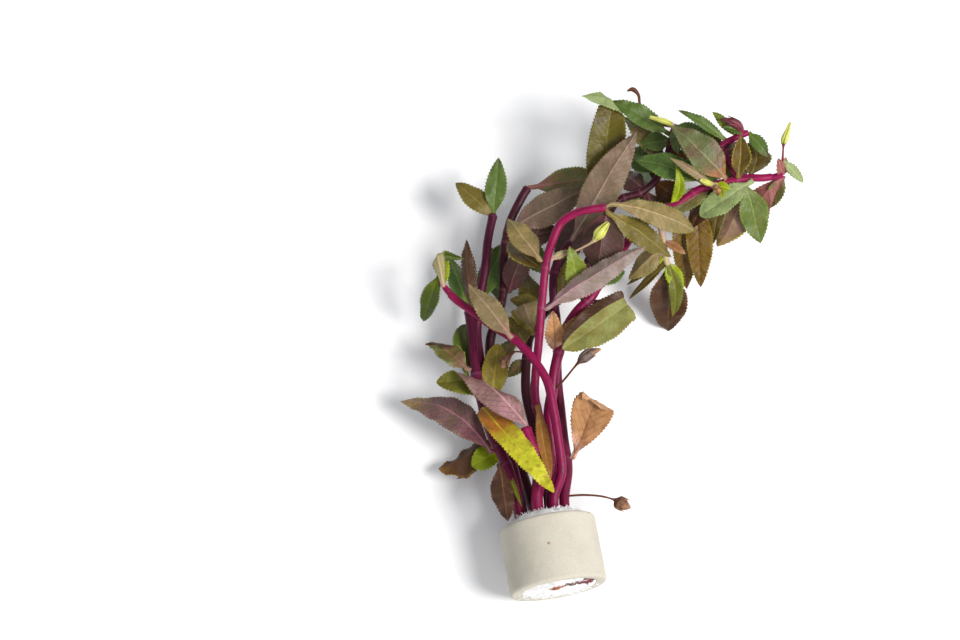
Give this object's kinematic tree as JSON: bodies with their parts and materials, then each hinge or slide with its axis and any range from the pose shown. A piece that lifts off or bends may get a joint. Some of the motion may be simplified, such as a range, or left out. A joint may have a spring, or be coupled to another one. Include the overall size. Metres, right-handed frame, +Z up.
{
  "type": "potted aquarium stem plant",
  "caption": "Leafy bunch of a red-stemmed aquarium plant in a short clay ring pot with mineral wool, lying on its side.",
  "frame": {"origin": "on the surface that the bunch lies on, under the middle of its bounding box", "axes": "+Y from the pot towards the shoot tips, +Z up from the surface, +X to the right seen from above with the shoot tips up"},
  "size_m": [0.147, 0.1894, 0.0535],
  "materials": {
    "clay": "unglazed cream clay, fine grain, dull",
    "wool": "white mineral wool, granular, dull",
    "stem_dark": "living stem, maroon, satin",
    "stem_pink": "living stem, magenta, satin to glossy",
    "leaf_green": "living leaf, fresh green, satin",
    "leaf_dark": "living leaf, dark green, satin",
    "leaf_mauve": "underside of a living leaf, dusky mauve, satin",
    "leaf_olive": "living leaf, olive, satin",
    "leaf_yellow": "ageing leaf, yellow, satin",
    "leaf_tan": "underside of an ageing leaf, tan, dull",
    "leaf_brown": "withering leaf, brown, dull",
    "leaf_dry": "dried leaf, papery tan, dull",
    "leaf_lime": "young leaf, lime green, satin"
  },
  "bodies": {
    "root": {"ceramic_ring": "clay", "flower_buds": "leaf_green", "leaf_big_mauve": "leaf_mauve", "leaf_big_under": "leaf_mauve", "leaf_brown_upright": "leaf_brown", "leaf_by_pot": "leaf_brown", "leaf_crown_green": "leaf_dark", "leaf_cupped": "leaf_olive", "leaf_curled_brown": "leaf_brown", "leaf_dark_curled": "leaf_dark", "leaf_dark_mauve": "leaf_mauve", "leaf_dark_olive": "leaf_dark", "leaf_dry_fan": "leaf_dry", "leaf_end_lower": "leaf_olive", "leaf_end_upper": "leaf_tan", "leaf_folded_tan": "leaf_tan", "leaf_green_folded": "leaf_green", "leaf_green_kite": "leaf_green", "leaf_green_right": "leaf_dark", "leaf_green_round": "leaf_lime", "leaf_green_side": "leaf_green", "leaf_khaki_broad": "leaf_olive", "leaf_low_big": "leaf_brown", "leaf_mauve_edge": "leaf_mauve", "leaf_mauve_folded": "leaf_mauve", "leaf_mauve_glossy": "leaf_mauve", "leaf_mauve_long": "leaf_mauve", "leaf_mottled": "leaf_mauve", "leaf_olive_brown": "leaf_olive", "leaf_olive_rim": "leaf_olive", "leaf_olive_tan": "leaf_tan", "leaf_pink_folded": "leaf_mauve", "leaf_sage": "leaf_green", "leaf_serrated_mauve": "leaf_mauve", "leaf_spread_green": "leaf_dark", "leaf_tall_yellow": "leaf_olive", "leaf_tan_narrow": "leaf_tan", "leaf_tan_upper": "leaf_tan", "leaf_under_crown_left": "leaf_dark", "leaf_under_crown_right": "leaf_dark", "leaf_under_left": "leaf_dark", "leaf_under_middle": "leaf_olive", "leaf_veined_long": "leaf_yellow", "leaf_veined_short": "leaf_yellow", "leaf_yellow": "leaf_yellow", "shoot_crown_left": "leaf_green", "shoot_crown_top": "leaf_green", "shoot_far_right": "stem_pink", "shoot_low": "leaf_green", "shoot_rosette": "leaf_green", "stem_dark_right": "stem_dark", "stem_hooked": "stem_pink", "stem_leaning": "stem_pink", "stem_left_inner": "stem_dark", "stem_left_outer": "stem_dark", "stem_low_dark": "stem_dark", "stem_mauve_short": "stem_pink", "stem_right": "stem_pink", "stem_thick": "stem_pink", "wool_plug": "wool"}
  },
  "joints": []
}
